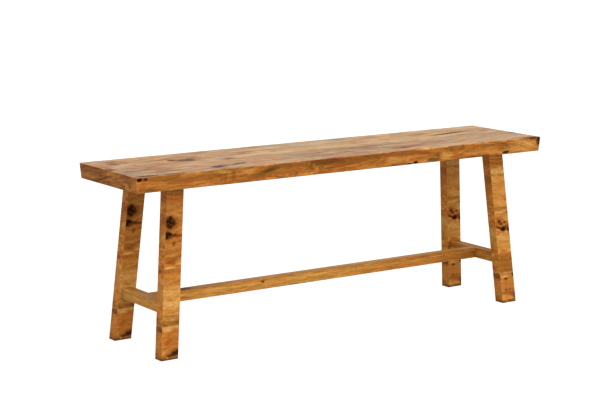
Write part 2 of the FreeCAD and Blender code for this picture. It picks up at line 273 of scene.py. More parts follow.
# Arrises lighter in patches: partly wear, partly a painted highlight
ARRIS_WEAR_HIGHLIGHT_REACH = (-3.0, -0.8)  # millimetres out from the second nearest face
ARRIS_WEAR_HIGHLIGHT_SIZE = 30.0
ARRIS_WEAR_HIGHLIGHT_PATCHES = (0.40, 0.62, 0.05, 0.45)  # noise at the least and most worn places, and their wear and painted highlight
ARRIS_WEAR_HIGHLIGHT_GAIN = 1.35
RUBBED_SMOOTHER = -0.15
ROUGHNESS = (0.20, 0.26)  # weight of the fibres, and the least value
LINE_DEPTH = -1.5  # against the fibres' height of 1
HEART_DEPTH = -1.0
BUMP_STRENGTH = 0.25
BUMP_HEIGHT = 0.0006

SHAPE = ("Point", "Centre", "Radii", "Shear")
KNOT_FIELDS = ("Heart", "Halo", "Lift", "Rings")
STRAIGHT = (0.0, 0.0, 0.0)


def pattern_group(name, numbers, colours, results):
    """An empty node group for a sheared ellipsoid.

    It comes with the distance from the middle in radii, twice: with its ripples, and with a part of them.
    """
    group = bpy.data.node_groups.new(name, "ShaderNodeTree")
    kinds = {key: "Vector" for key in SHAPE}
    kinds.update({key: "Float" for key in ("Ripple", *numbers)})
    kinds.update({key: "Color" for key in colours})
    for key, kind in kinds.items():
        group.interface.new_socket(name=key, in_out="INPUT", socket_type=f"NodeSocket{kind}")
    for key in results:
        group.interface.new_socket(name=key, in_out="OUTPUT", socket_type=f"NodeSocket{kinds[key]}")
    nodes = Nodes(group)
    given = nodes.add("NodeGroupInput").outputs
    step = nodes.vector("SUBTRACT", given["Point"], given["Centre"])
    level = nodes.scale(given["Shear"], nodes.separate(step)["X"])
    step = nodes.vector("SUBTRACT", step, level)
    length = nodes.vector("LENGTH", nodes.vector("DIVIDE", step, given["Radii"]))
    rippled = nodes.math("ADD", length, given["Ripple"])
    even = nodes.math("MULTIPLY_ADD", given["Ripple"], EVEN_RIPPLE, length)
    return group, nodes, given, rippled, even


def knot_group():
    """Adds a knot to the fields: its heart, its halo of stained wood, its lift of the figure, and its rings."""
    numbers = ("Dark", "Raised", *KNOT_FIELDS)
    group, nodes, given, distance, even = pattern_group("knot", numbers, (), KNOT_FIELDS)
    heart = nodes.smooth(distance, *HEART_EDGE, 0.0, given["Dark"])
    halo = nodes.smooth(distance, *HALO_EDGE, 0.0, given["Dark"])
    lift = nodes.smooth(even, *LIFT_EDGE, 0.0, given["Raised"])
    wave = nodes.math("SINE", nodes.math("MULTIPLY", even, RING_WAVES))
    weight = nodes.math("MULTIPLY", lift, RING_WEIGHT)
    results = {
        "Heart": nodes.math("MAXIMUM", given["Heart"], heart),
        "Halo": nodes.math("MAXIMUM", given["Halo"], halo),
        "Lift": nodes.math("ADD", given["Lift"], lift),
        "Rings": nodes.math("MULTIPLY_ADD", wave, weight, given["Rings"]),
    }
    nodes.add("NodeGroupOutput", results)
    return group


def stain_group():
    """Lays one soft patch of another tone over the colour."""
    group, nodes, given, distance, _ = pattern_group("stain", ("Strength",), ("Tint", "Colour"), ("Colour",))
    strength = nodes.smooth(distance, *STAIN_EDGE, 0.0, given["Strength"])
    nodes.add("NodeGroupOutput", {"Colour": nodes.mix(strength, given["Colour"], given["Tint"])})
    return group


KNOT_GROUP = knot_group()
STAIN_GROUP = stain_group()


def use_group(nodes, group, point, ripple, shape, inputs):
    centre, radii, shear = shape
    fixed = {"Point": point, "Ripple": ripple, "Centre": centre, "Radii": radii, "Shear": shear}
    return nodes.add("ShaderNodeGroup", {**fixed, **inputs}, node_tree=group).outputs


def knot(x, y, z, rx, ry, rz, dark, raised, shear=STRAIGHT):
    """A knot's middle and radii in millimetres, its darkness, its lift of the figure, and its slope."""
    return (x, y, z), (rx, ry, rz), dark, raised, shear


def stain(x, y, z, rx, ry, rz, tint, strength, shear=STRAIGHT):
    return (x, y, z), (rx, ry, rz), tint, strength, shear


def outline_ripple(nodes, point):
    coarse, fine = [nodes.centred(nodes.noise(point, 1 / size), depth) for size, depth in RIPPLES]
    return nodes.math("ADD", coarse, fine)


def lay_knots(nodes, point, ripple, knots):
    """The knots' fields together, each 0 where there are none."""
    fields = [0.0 for _ in KNOT_FIELDS]
    for centre, radii, dark, raised, shear in knots:
        inputs = {"Dark": dark, "Raised": raised, **dict(zip(KNOT_FIELDS, fields))}
        fields = use_group(nodes, KNOT_GROUP, point, ripple, (centre, radii, shear), inputs)
    return fields


def lay_stains(nodes, point, ripple, stains, colour):
    for centre, radii, tint, strength, shear in stains:
        inputs = {"Tint": (*tint, 1.0), "Strength": strength, "Colour": colour}
        colour = use_group(nodes, STAIN_GROUP, point, ripple, (centre, radii, shear), inputs)[0]
    return colour


def growth_rings(nodes, field, rings, look):
    """The light and dark strands of the figure, and the dark lines among them."""
    bands = nodes.centred(nodes.line_noise(field, 1 / look["band"], *BAND_NOISE), look["bands"])
    lines = nodes.line_noise(field, 1 / look["line"], *LINE_NOISE)
    lines = nodes.smooth(lines, *LINE_EDGE, 0.0, look["lines"])
    return nodes.math("ADD", nodes.math("SUBTRACT", bands, lines), rings), lines


def clear_wood(nodes, grain, strands, look):
    """Colour before the stains: the strands, broad zones of tone, and a drift of hue."""
    apart = nodes.vector("ADD", grain, ZONE_OFFSET)
    zones = nodes.centred(nodes.noise(apart, 1 / look["zone"], *ZONE_NOISE), look["zones"])
    tone = nodes.math("ADD", strands, nodes.math("ADD", zones, look["centre"]))
    drift = nodes.noise(nodes.vector("ADD", grain, HUE_OFFSET), 1 / HUE_SIZE)
    return nodes.mix(1.0, nodes.ramp(tone, TONES), nodes.ramp(drift, HUES), "MULTIPLY")


def lay_dust_and_sheen(nodes, point, normal, amount, colour):
    """Pale patches on the faces that look up: partly dry dust, partly a painted sheen."""
    upward = nodes.smooth(nodes.separate(normal)["Z"], *TURNED)
    cloud = nodes.noise(nodes.vector("MULTIPLY", point, DUST_SHEEN_STRETCH), 1 / DUST_SHEEN_SIZE, *DUST_SHEEN_NOISE)
    cloud = nodes.math("ADD", nodes.centred(cloud, DUST_SHEEN_CONTRAST * amount), amount)
    return nodes.mix(nodes.math("MULTIPLY", upward, cloud, clamp=True), colour, DUST_AND_SHEEN)


def colour_knots(nodes, point, heart, halo, colour):
    colour = nodes.mix(nodes.math("MULTIPLY", halo, HALO_STRENGTH), colour, BROWN)
    colour = nodes.mix(nodes.smooth(halo, *RIM_EDGE, 0.0, RIM_STRENGTH), colour, DARK)
    mottle = nodes.ramp(nodes.noise(point, 1 / MOTTLE_SIZE, *MOTTLE_NOISE), MOTTLE)
    return nodes.mix(heart, colour, mottle)


def scaled(colour, factors):
    return tuple(channel * factor for channel, factor in zip(colour, factors))


def cross_cut(nodes, point, cross):
    """Colour of the faces that look along X."""
    x, y, z = nodes.separate(point)
    leaning = nodes.combine(x, y, nodes.math("MULTIPLY_ADD", y, cross["lean"], z))
    grain = nodes.vector("MULTIPLY", leaning, cross["stretch"])
    fine = nodes.centred(nodes.noise(grain, 1 / cross["grain"], *CROSS_NOISE), cross["spread"])
    broad = nodes.centred(nodes.noise(grain, BROAD_RATE / cross["grain"]), BROAD_SPREAD)
    tone = nodes.math("ADD", nodes.math("ADD", fine, broad), cross["centre"])
    colour = nodes.ramp(tone, [(place, scaled(colour, cross["tint"])) for place, colour in TONES])
    if cross["pores"]:
        pores = nodes.centred(nodes.noise(point, 1 / PORE_SIZE), cross["pores"])
        colour = nodes.scale(colour, nodes.math("ADD", pores, 1.0))
    return colour


def arris_wear_and_highlight(nodes, point, box):
    """Wear and painted highlight of the arrises, in patches, and 0 elsewhere, from the second nearest of the
    piece's faces.
    """
    middle, half = box
    away = nodes.vector("ABSOLUTE", nodes.vector("SUBTRACT", point, middle))
    x, y, z = nodes.separate(nodes.vector("SUBTRACT", away, half))
    second = nodes.math("MINIMUM", nodes.math("MAXIMUM", x, y), z)
    second = nodes.math("MAXIMUM", nodes.math("MINIMUM", x, y), second)
    patches = nodes.smooth(nodes.noise(point, 1 / ARRIS_WEAR_HIGHLIGHT_SIZE), *ARRIS_WEAR_HIGHLIGHT_PATCHES)
    return nodes.math("MULTIPLY", nodes.smooth(second, *ARRIS_WEAR_HIGHLIGHT_REACH), patches)


def wood(name, place, figure, look, box, knots=(), stains=(), cross=None, cross_stains=()):
    """Oiled knotty wood as a solid pattern.

    place gives the pattern's point from the object's, in millimetres, and figure its growth field. box is the
    piece's middle and half sizes there. cross describes the faces that look along X, where they differ.
    """
    material = bpy.data.materials.new(name)
    material.use_nodes = True
    nodes = Nodes(material.node_tree)
    coordinates = nodes.add("ShaderNodeTexCoord").outputs
    point = place(nodes, nodes.scale(coordinates["Object"], MILLIMETRES))
    normal = coordinates["Normal"]
    grain = nodes.vector("MULTIPLY", point, look["fibre"])
    ripple = outline_ripple(nodes, point)
    heart, halo, lift, rings = lay_knots(nodes, point, ripple, knots)

    warp = nodes.centred(nodes.noise(grain, WARP_RATE / look["zone"], *WARP_NOISE), look["warp"])
    field = nodes.math("ADD", nodes.math("ADD", figure(nodes, point), warp), lift)
    strands, lines = growth_rings(nodes, field, rings, look)
    colour = lay_stains(nodes, point, ripple, stains, clear_wood(nodes, grain, strands, look))
    # painted sheen, with some dust: the faces that look up are paled in patches
    if look["dust_and_sheen"]:
        colour = lay_dust_and_sheen(nodes, point, normal, look["dust_and_sheen"], colour)

    fine = nodes.noise(grain, 1 / look["fleck"], *FLECK_NOISE)
    shade = nodes.math("ADD", nodes.centred(fine, 2 * look["fine"]), 1.0)
    shade = nodes.math("MULTIPLY_ADD", strands, look["relief"], shade)
    colour = nodes.vector("MULTIPLY", nodes.scale(colour, shade), look["tint"])
    colour = colour_knots(nodes, point, heart, halo, colour)
    if cross:
        facing = nodes.math("ABSOLUTE", nodes.vector("DOT_PRODUCT", normal, ALONG))
        facing = nodes.smooth(facing, *TURNED)
        other = lay_stains(nodes, point, ripple, cross_stains, cross_cut(nodes, point, cross))
        other = nodes.scale(other, nodes.math("ADD", nodes.centred(fine, 1.0), 1.0))
        colour = nodes.mix(facing, colour, other)
        heart = nodes.math("MULTIPLY", heart, nodes.math("SUBTRACT", 1.0, facing))
    arris_wear_highlight = arris_wear_and_highlight(nodes, point, box)
    # painted highlight, with some wear: the arrises lighter in patches
    colour = nodes.mix(arris_wear_highlight, colour, nodes.scale(colour, ARRIS_WEAR_HIGHLIGHT_GAIN))

    shader = material.node_tree.nodes["Principled BSDF"]
    nodes.feed(shader.inputs["Base Color"], colour)
    shine = nodes.math("MULTIPLY_ADD", fine, *ROUGHNESS)
    nodes.feed(shader.inputs["Roughness"], nodes.math("MULTIPLY_ADD", arris_wear_highlight, RUBBED_SMOOTHER, shine))
    shader.inputs["IOR"].default_value = WAX_IOR
    height = nodes.math("MULTIPLY_ADD", lines, LINE_DEPTH, fine)
    height = nodes.math("MULTIPLY_ADD", heart, HEART_DEPTH, height)
    relief = {"Height": height, "Strength": BUMP_STRENGTH, "Distance": BUMP_HEIGHT}
    nodes.feed(shader.inputs["Normal"], nodes.add("ShaderNodeBump", relief).outputs[0])
    return material


# Places and half sizes of the pieces in millimetres
SEAT_TOP = 470.0
SEAT_FRONT = -150.0
LEFT_END = -650.0
BOARD_HALF = (650.0, 75.0, 20.0)
PITHS = {"front": (-50.0, 380.0), "back": (62.0, 575.0)}  # Y and Z of the middle of each board's growth rings
KNOT_REACH = 12.0  # a knot this near the glue line shows in both boards
SPLAY_ALONG = 5.15
SPLAY_ACROSS = 3.6
LEG_TOP = (518.0, 95.0, 430.0)  # where the right back leg's axis meets the seat
LEG_BOX = ((0.0, 0.0, 215.0), (24.5, 16.0, 215.0))
RAIL_LEVEL = 126.0
END_RAIL_PLACE = 545.4
END_RAIL_HALF = (120.0, 16.0, 14.0)
LONG_RAIL_BOX = ((0.0, 0.0, RAIL_LEVEL), (550.0, 16.0, 14.0))
DOWELS_BOX = ((0.0, 0.0, 450.0), (650.0, 40.0, 6.0))

THROUGH = 60.0  # radius of a knot along its own branch, which runs right through the piece

SEAT_KNOTS = [
    knot(-404, 32, SEAT_TOP, 26, 19, THROUGH, 0.68, 16),
    knot(-372, 58, SEAT_TOP, 20, 12, THROUGH, 0.40, 5, (0.0, 0.3, 0.0)),
    knot(-437, 47, SEAT_TOP, 10, 7, THROUGH, 1.00, 8),
    knot(-592, 76, SEAT_TOP, 12, 16, THROUGH, 0.55, 8),
    knot(-578, 112, SEAT_TOP, 16, 12, THROUGH, 0.45, 6),
    knot(-560, 88, SEAT_TOP, 16, 8, THROUGH, 0.35, 4),
    knot(-640, 6, SEAT_TOP, 9, 15, THROUGH, 0.65, 6),
    knot(-392, -107, SEAT_TOP, 15, 11, THROUGH, 0.82, 8),
    knot(-368, -95, SEAT_TOP, 14, 8, THROUGH, 0.45, 4),
    knot(-318, -89, SEAT_TOP, 22, 9, THROUGH, 0.60, 7, (0.0, 0.3, 0.0)),
    knot(-298, -6, SEAT_TOP, 13, 8, THROUGH, 0.55, 4),
    knot(204, -100, SEAT_TOP, 17, 10, THROUGH, 0.68, 8),
    knot(116, -86, SEAT_TOP, 18, 7, THROUGH, 0.30, 4),
    knot(474, 52, SEAT_TOP, 50, 8, THROUGH, 0.85, 8, (0.0, 0.14, 0.0)),
    knot(528, 62, SEAT_TOP, 34, 6, THROUGH, 0.50, 4),
    knot(395, 78, SEAT_TOP, 22, 6, THROUGH, 0.30, 4),
    knot(600, 46, SEAT_TOP, 12, 8, THROUGH, 0.35, 4),
    knot(642, -40, SEAT_TOP, 8, 14, THROUGH, 0.50, 4),
    knot(-612, -138, SEAT_TOP, 30, 8, 8, 0.80, 5),
    knot(-540, -142, SEAT_TOP, 34, 6, 7, 0.65, 5),
    knot(622, -144, SEAT_TOP, 28, 6, 6, 0.90, 5),
    knot(-640, SEAT_FRONT, 464, 6.5, 12, 4, 1.0, 4),
    knot(-624, SEAT_FRONT, 463.5, 5.5, 12, 3.2, 1.0, 3),
    knot(643, SEAT_FRONT, 459, 6.5, 14, 10, 0.92, 6),
    knot(183, SEAT_FRONT, 432, 9, 10, 2.0, 0.9, 3),
    knot(206, SEAT_FRONT, 435, 6, 10, 3.0, 1.0, 3),
    knot(524, SEAT_FRONT, 436, 10, 12, 3.4, 0.90, 3),
    knot(558, SEAT_FRONT, 450, 8, 20, 7, 0.10, 14),
    knot(-590, SEAT_FRONT, 446, 100, 20, 11, 0.0, 12),
    knot(-232, SEAT_FRONT, 440, 36, 20, 10, 0.0, 15),
    knot(-100, SEAT_FRONT, 436, 30, 20, 10, 0.0, 12),
    knot(338, SEAT_FRONT, 450, 16, 20, 12, 0.0, 9),
    knot(600, SEAT_FRONT, 452, 26, 20, 9, 0.0, 12),
]

SEAT_STAINS = [
    # on the front edge
    stain(-630, SEAT_FRONT, 446, 10, 20, 12, RUSSET, 0.50),
    stain(-645, SEAT_FRONT, 443, 3.5, 20, 12, GOLDEN, 0.65),
    stain(-610, SEAT_FRONT, 435, 16, 20, 5, DEEP, 0.55),
    stain(-530, SEAT_FRONT, 450, 100, 20, 18, AMBER, 0.70),
    stain(-560, SEAT_FRONT, 462, 60, 20, 6, BROWN, 0.45),
    stain(-417, SEAT_FRONT, 444, 34, 20, 14, AMBER, 0.55),
    stain(-408, SEAT_FRONT, 445, 3, 20, 9, BROWN, 0.60),
    stain(-396, SEAT_FRONT, 446, 3.5, 20, 13, BROWN, 0.70),
    stain(-386, SEAT_FRONT, 447, 2.5, 20, 14, ORANGE, 0.60),
    stain(-372, SEAT_FRONT, 453, 7, 20, 15, BROWN, 0.85),
    stain(-345, SEAT_FRONT, 462, 22, 20, 7, GOLDEN, 0.60),
    stain(-310, SEAT_FRONT, 443, 24, 20, 6, BROWN, 0.65),
    stain(-250, SEAT_FRONT, 456, 90, 20, 14, AMBER, 0.60),
    stain(-330, SEAT_FRONT, 441, 60, 20, 8, BROWN, 0.45),
    stain(-266, SEAT_FRONT, 455, 50, 20, 9, OLIVE, 0.95, (0.0, 0.0, 0.26)),
    stain(-258, SEAT_FRONT, 457, 36, 20, 6, MOSS, 0.90, (0.0, 0.0, 0.26)),
    stain(-212, SEAT_FRONT, 465, 34, 20, 5, OLIVE, 0.85),
    stain(-212, SEAT_FRONT, 446, 50, 20, 9, AMBER, 0.75),
    stain(-185, SEAT_FRONT, 463, 44, 20, 7, BROWN, 0.80),
    stain(-20, SEAT_FRONT, 460, 135, 20, 11, BROWN, 0.95),
    stain(-85, SEAT_FRONT, 463, 66, 20, 9, DEEP, 0.85),
    stain(40, SEAT_FRONT, 462, 80, 20, 7, DEEP, 0.35),
    stain(-52, SEAT_FRONT, 451, 14, 20, 7, RUSSET, 0.45),
    stain(-60, SEAT_FRONT, 438, 80, 20, 7, AMBER, 0.70),
    stain(50, SEAT_FRONT, 440, 60, 20, 7, AMBER, 0.60),
    stain(100, SEAT_FRONT, 455, 8, 20, 12, RUSSET, 0.45),
    stain(140, SEAT_FRONT, 446, 40, 20, 9, HONEY, 0.65),
    stain(170, SEAT_FRONT, 462, 80, 20, 8, BROWN, 0.90, (0.0, 0.0, -0.04)),
    stain(215, SEAT_FRONT, 450, 20, 20, 7, AMBER, 0.60),
    stain(268, SEAT_FRONT, 437, 26, 20, 6, DEEP, 0.90),
    stain(275, SEAT_FRONT, 460, 48, 20, 9, BROWN, 0.70),
    stain(395, SEAT_FRONT, 464, 40, 20, 5, BROWN, 0.45),
    stain(314, SEAT_FRONT, 446, 22, 20, 11, HONEY, 0.75),
    stain(345, SEAT_FRONT, 455, 10, 20, 15, AMBER, 0.60),
    stain(395, SEAT_FRONT, 456, 36, 20, 12, AMBER, 0.70),
    stain(460, SEAT_FRONT, 448, 60, 20, 12, GOLDEN, 0.60),
    stain(455, SEAT_FRONT, 461, 60, 20, 4, OLIVE, 0.40, (0.0, 0.0, -0.03)),
    stain(517, SEAT_FRONT, 451, 24, 20, 6, OLIVE, 0.60),
    stain(430, SEAT_FRONT, 441, 60, 20, 6, HONEY, 0.50),
    stain(590, SEAT_FRONT, 448, 60, 20, 14, HONEY, 0.75),
    stain(575, SEAT_FRONT, 462, 44, 20, 6, HONEY, 0.60),
    stain(612, SEAT_FRONT, 452, 26, 20, 3, PALE, 0.65, (0.0, 0.0, -0.35)),
    stain(590, SEAT_FRONT, 446, 22, 20, 2, BROWN, 0.50, (0.0, 0.0, -0.35)),
    stain(630, SEAT_FRONT, 445, 12, 20, 10, RUSSET, 0.30),
    # on the top
    stain(-520, -20, SEAT_TOP, 100, 40, 8, ORANGE, 0.30),
    stain(-520, 45, SEAT_TOP, 90, 20, 8, HONEY, 0.65),
    stain(-380, -45, SEAT_TOP, 110, 34, 8, ORANGE, 0.85),
    stain(-240, -70, SEAT_TOP, 100, 50, 8, ORANGE, 0.70),
    stain(-300, -60, SEAT_TOP, 90, 34, 8, AMBER, 0.45),
    stain(-250, -130, SEAT_TOP, 130, 14, 8, GOLDEN, 0.50),
    stain(-250, 90, SEAT_TOP, 120, 20, 8, HONEY, 0.50),
    stain(40, 22, SEAT_TOP, 400, 15, 8, PALE, 0.65),
    stain(30, 16, SEAT_TOP, 34, 9, 8, HONEY, 0.70),
    stain(-150, 20, SEAT_TOP, 40, 9, 8, HONEY, 0.60),
    stain(200, 52, SEAT_TOP, 330, 26, 8, PALE, 0.35),
    stain(155, -44, SEAT_TOP, 14, 6, 8, ORANGE, 0.60),
    stain(70, -46, SEAT_TOP, 44, 16, 8, BROWN, 0.35),
    stain(357, -16, SEAT_TOP, 26, 8, 8, BROWN, 0.50),
    stain(395, 78, SEAT_TOP, 30, 8, 8, OLIVE, 0.35),
    stain(560, -40, SEAT_TOP, 50, 12, 8, BROWN, 0.35, (0.0, 0.2, 0.0)),
    # a pale patch on the top: partly dust, partly a painted sheen
    stain(0, 106, SEAT_TOP, 150, 28, 8, DUST_AND_SHEEN, 0.35),
    stain(-150, 128, SEAT_TOP, 60, 14, 8, BROWN, 0.35),
    stain(250, 118, SEAT_TOP, 60, 12, 8, AMBER, 0.45),
    stain(515, 105, SEAT_TOP, 120, 34, 8, PALE, 0.30),
    stain(500, 30, SEAT_TOP, 150, 14, 8, PALE, 0.40),
    stain(510, -62, SEAT_TOP, 130, 60, 8, PALE, 0.30),
    stain(360, -120, SEAT_TOP, 160, 20, 8, HONEY, 0.50),
    stain(590, -80, SEAT_TOP, 30, 14, 8, BROWN, 0.45),
    stain(-60, -118, SEAT_TOP, 120, 16, 8, AMBER, 0.35),
    stain(80, -22, SEAT_TOP, 330, 12, 8, BROWN, 0.70),
    stain(160, -70, SEAT_TOP, 300, 34, 8, BROWN, 0.22),
    stain(-560, -90, SEAT_TOP, 70, 30, 8, BROWN, 0.40),
    stain(560, 30, SEAT_TOP, 70, 10, 8, OLIVE, 0.45, (0.0, 0.2, 0.0)),
]

END_STAINS = [
    stain(LEFT_END, 100, 459, 6, 34, 9, OLIVE, 0.75),
    stain(LEFT_END, 121, 458, 6, 8, 6, RUSSET, 0.45),
    stain(LEFT_END, 123, 437, 6, 12, 4, RUSSET, 0.60),
    stain(LEFT_END, 55, 450, 6, 40, 9, BROWN, 0.50),
    stain(LEFT_END, -30, 446, 6, 50, 8, AMBER, 0.35),
    stain(LEFT_END, -100, 458, 6, 30, 7, BROWN, 0.55),
    stain(LEFT_END, -99, 440, 6, 11, 7, HONEY, 0.65),
    stain(LEFT_END, 90, 439, 6, 26, 3, ORANGE, 0.60),
    stain(LEFT_END, -35, 437, 6, 28, 3, ORANGE, 0.60),
    stain(LEFT_END, -136, 445, 6, 18, 13, ORANGE, 0.95),
    stain(LEFT_END, -140, 447, 6, 9, 8, GOLDEN, 0.60),
]


def seat_figure(pith_y, pith_z):
    """Growth rings round a pith that runs along the board, outside it."""

    def figure(nodes, point):
        axes = nodes.separate(point)
        y = nodes.math("SUBTRACT", axes["Y"], pith_y)
        z = nodes.math("SUBTRACT", axes["Z"], pith_z)
        return nodes.math("SQRT", nodes.math("MULTIPLY_ADD", y, y, nodes.math("MULTIPLY", z, z)))

    return figure


def as_it_is(nodes, point):
    return point


LEAN_ALONG = math.tan(math.radians(SPLAY_ALONG))  # for each millimetre down
LEAN_ACROSS = math.tan(math.radians(SPLAY_ACROSS)) / math.cos(math.radians(SPLAY_ALONG))
LEG_BOW = -0.004  # rise of the figure for each square millimetre from the leg's middle
LEG_TILT = 0.2
RAIL_TILT = 0.6


def leg_place(end, side):
    """Point measured from the leg's own leaning axis: X and Y across it, and Z above the floor."""

    def place(nodes, point):
        drop = nodes.math("SUBTRACT", LEG_TOP[2], nodes.separate(point)["Z"])
        x = nodes.math("MULTIPLY_ADD", drop, end * LEAN_ALONG, end * LEG_TOP[0])
        y = nodes.math("MULTIPLY_ADD", drop, side * LEAN_ACROSS, side * LEG_TOP[1])
        return nodes.vector("SUBTRACT", point, nodes.combine(x, y, 0.0))

    return place


def leg_figure(nodes, point):
    """Figure that runs across the leg in shallow bows."""
    axes = nodes.separate(point)
    bow = nodes.math("MULTIPLY", nodes.math("MULTIPLY", axes["X"], axes["X"]), LEG_BOW)
    return nodes.math("MULTIPLY_ADD", axes["Y"], LEG_TILT, nodes.math("ADD", axes["Z"], bow))


# On the legs X is 0 at the middle of the front face, and a knot runs through from front to back
LEG_KNOTS = {
    "left": [
        knot(-13, 0, 343, 12, THROUGH, 14, 1.0, 14),
        knot(-1, 0, 342, 7, THROUGH, 9, 0.60, 6),
        knot(-16, 0, 312, 10, THROUGH, 9, 1.0, 8),
        knot(-3, 0, 311, 12, THROUGH, 4, 0.75, 3),
        knot(14, 0, 309, 15, THROUGH, 2.6, 0.50, 2),
        knot(18, 0, 15.5, 15, THROUGH, 5.5, 0.0, 5, (0.0, 0.0, 0.25)),
    ],
    "right": [
        knot(-11, 0, 234, 5.0, THROUGH, 4.8, 0.85, 5),
        knot(-4, 0, 228, 5.0, THROUGH, 4.0, 0.85, 3),
        knot(9, 0, 231, 5.0, THROUGH, 3.2, 0.75, 2),
        knot(2, 0, 213, 8, THROUGH, 6.5, 1.0, 5),
        knot(21.5, 0, 211, 5, THROUGH, 6.5, 1.0, 3),
        knot(-14, 0, 217, 10, THROUGH, 2.2, 0.85, 1, (0.0, 0.0, -0.30)),
        knot(13, 0, 218, 5, THROUGH, 2.0, 0.60, 1),
        knot(-5, 0, 69, 6, THROUGH, 3.0, 0.35, 3),
        knot(22.5, 0, 80, 4, THROUGH, 5, 1.0, 3),
        knot(-7, 0, 37, 5, THROUGH, 2.2, 0.55, 1),
        knot(6, 0, 37, 4, THROUGH, 1.8, 0.45, 1),
        knot(22, 0, 18, 5, THROUGH, 10, 0.70, 3),
    ],
}

ROUND = 60.0  # radius of a stain that crosses the whole face

# painted shade: the back legs darker low down, where they stand in more shade than the front legs
BACK_FOOT_SHADE = [stain(0, 0, 42, ROUND, ROUND, 34, BROWN, 0.55)]

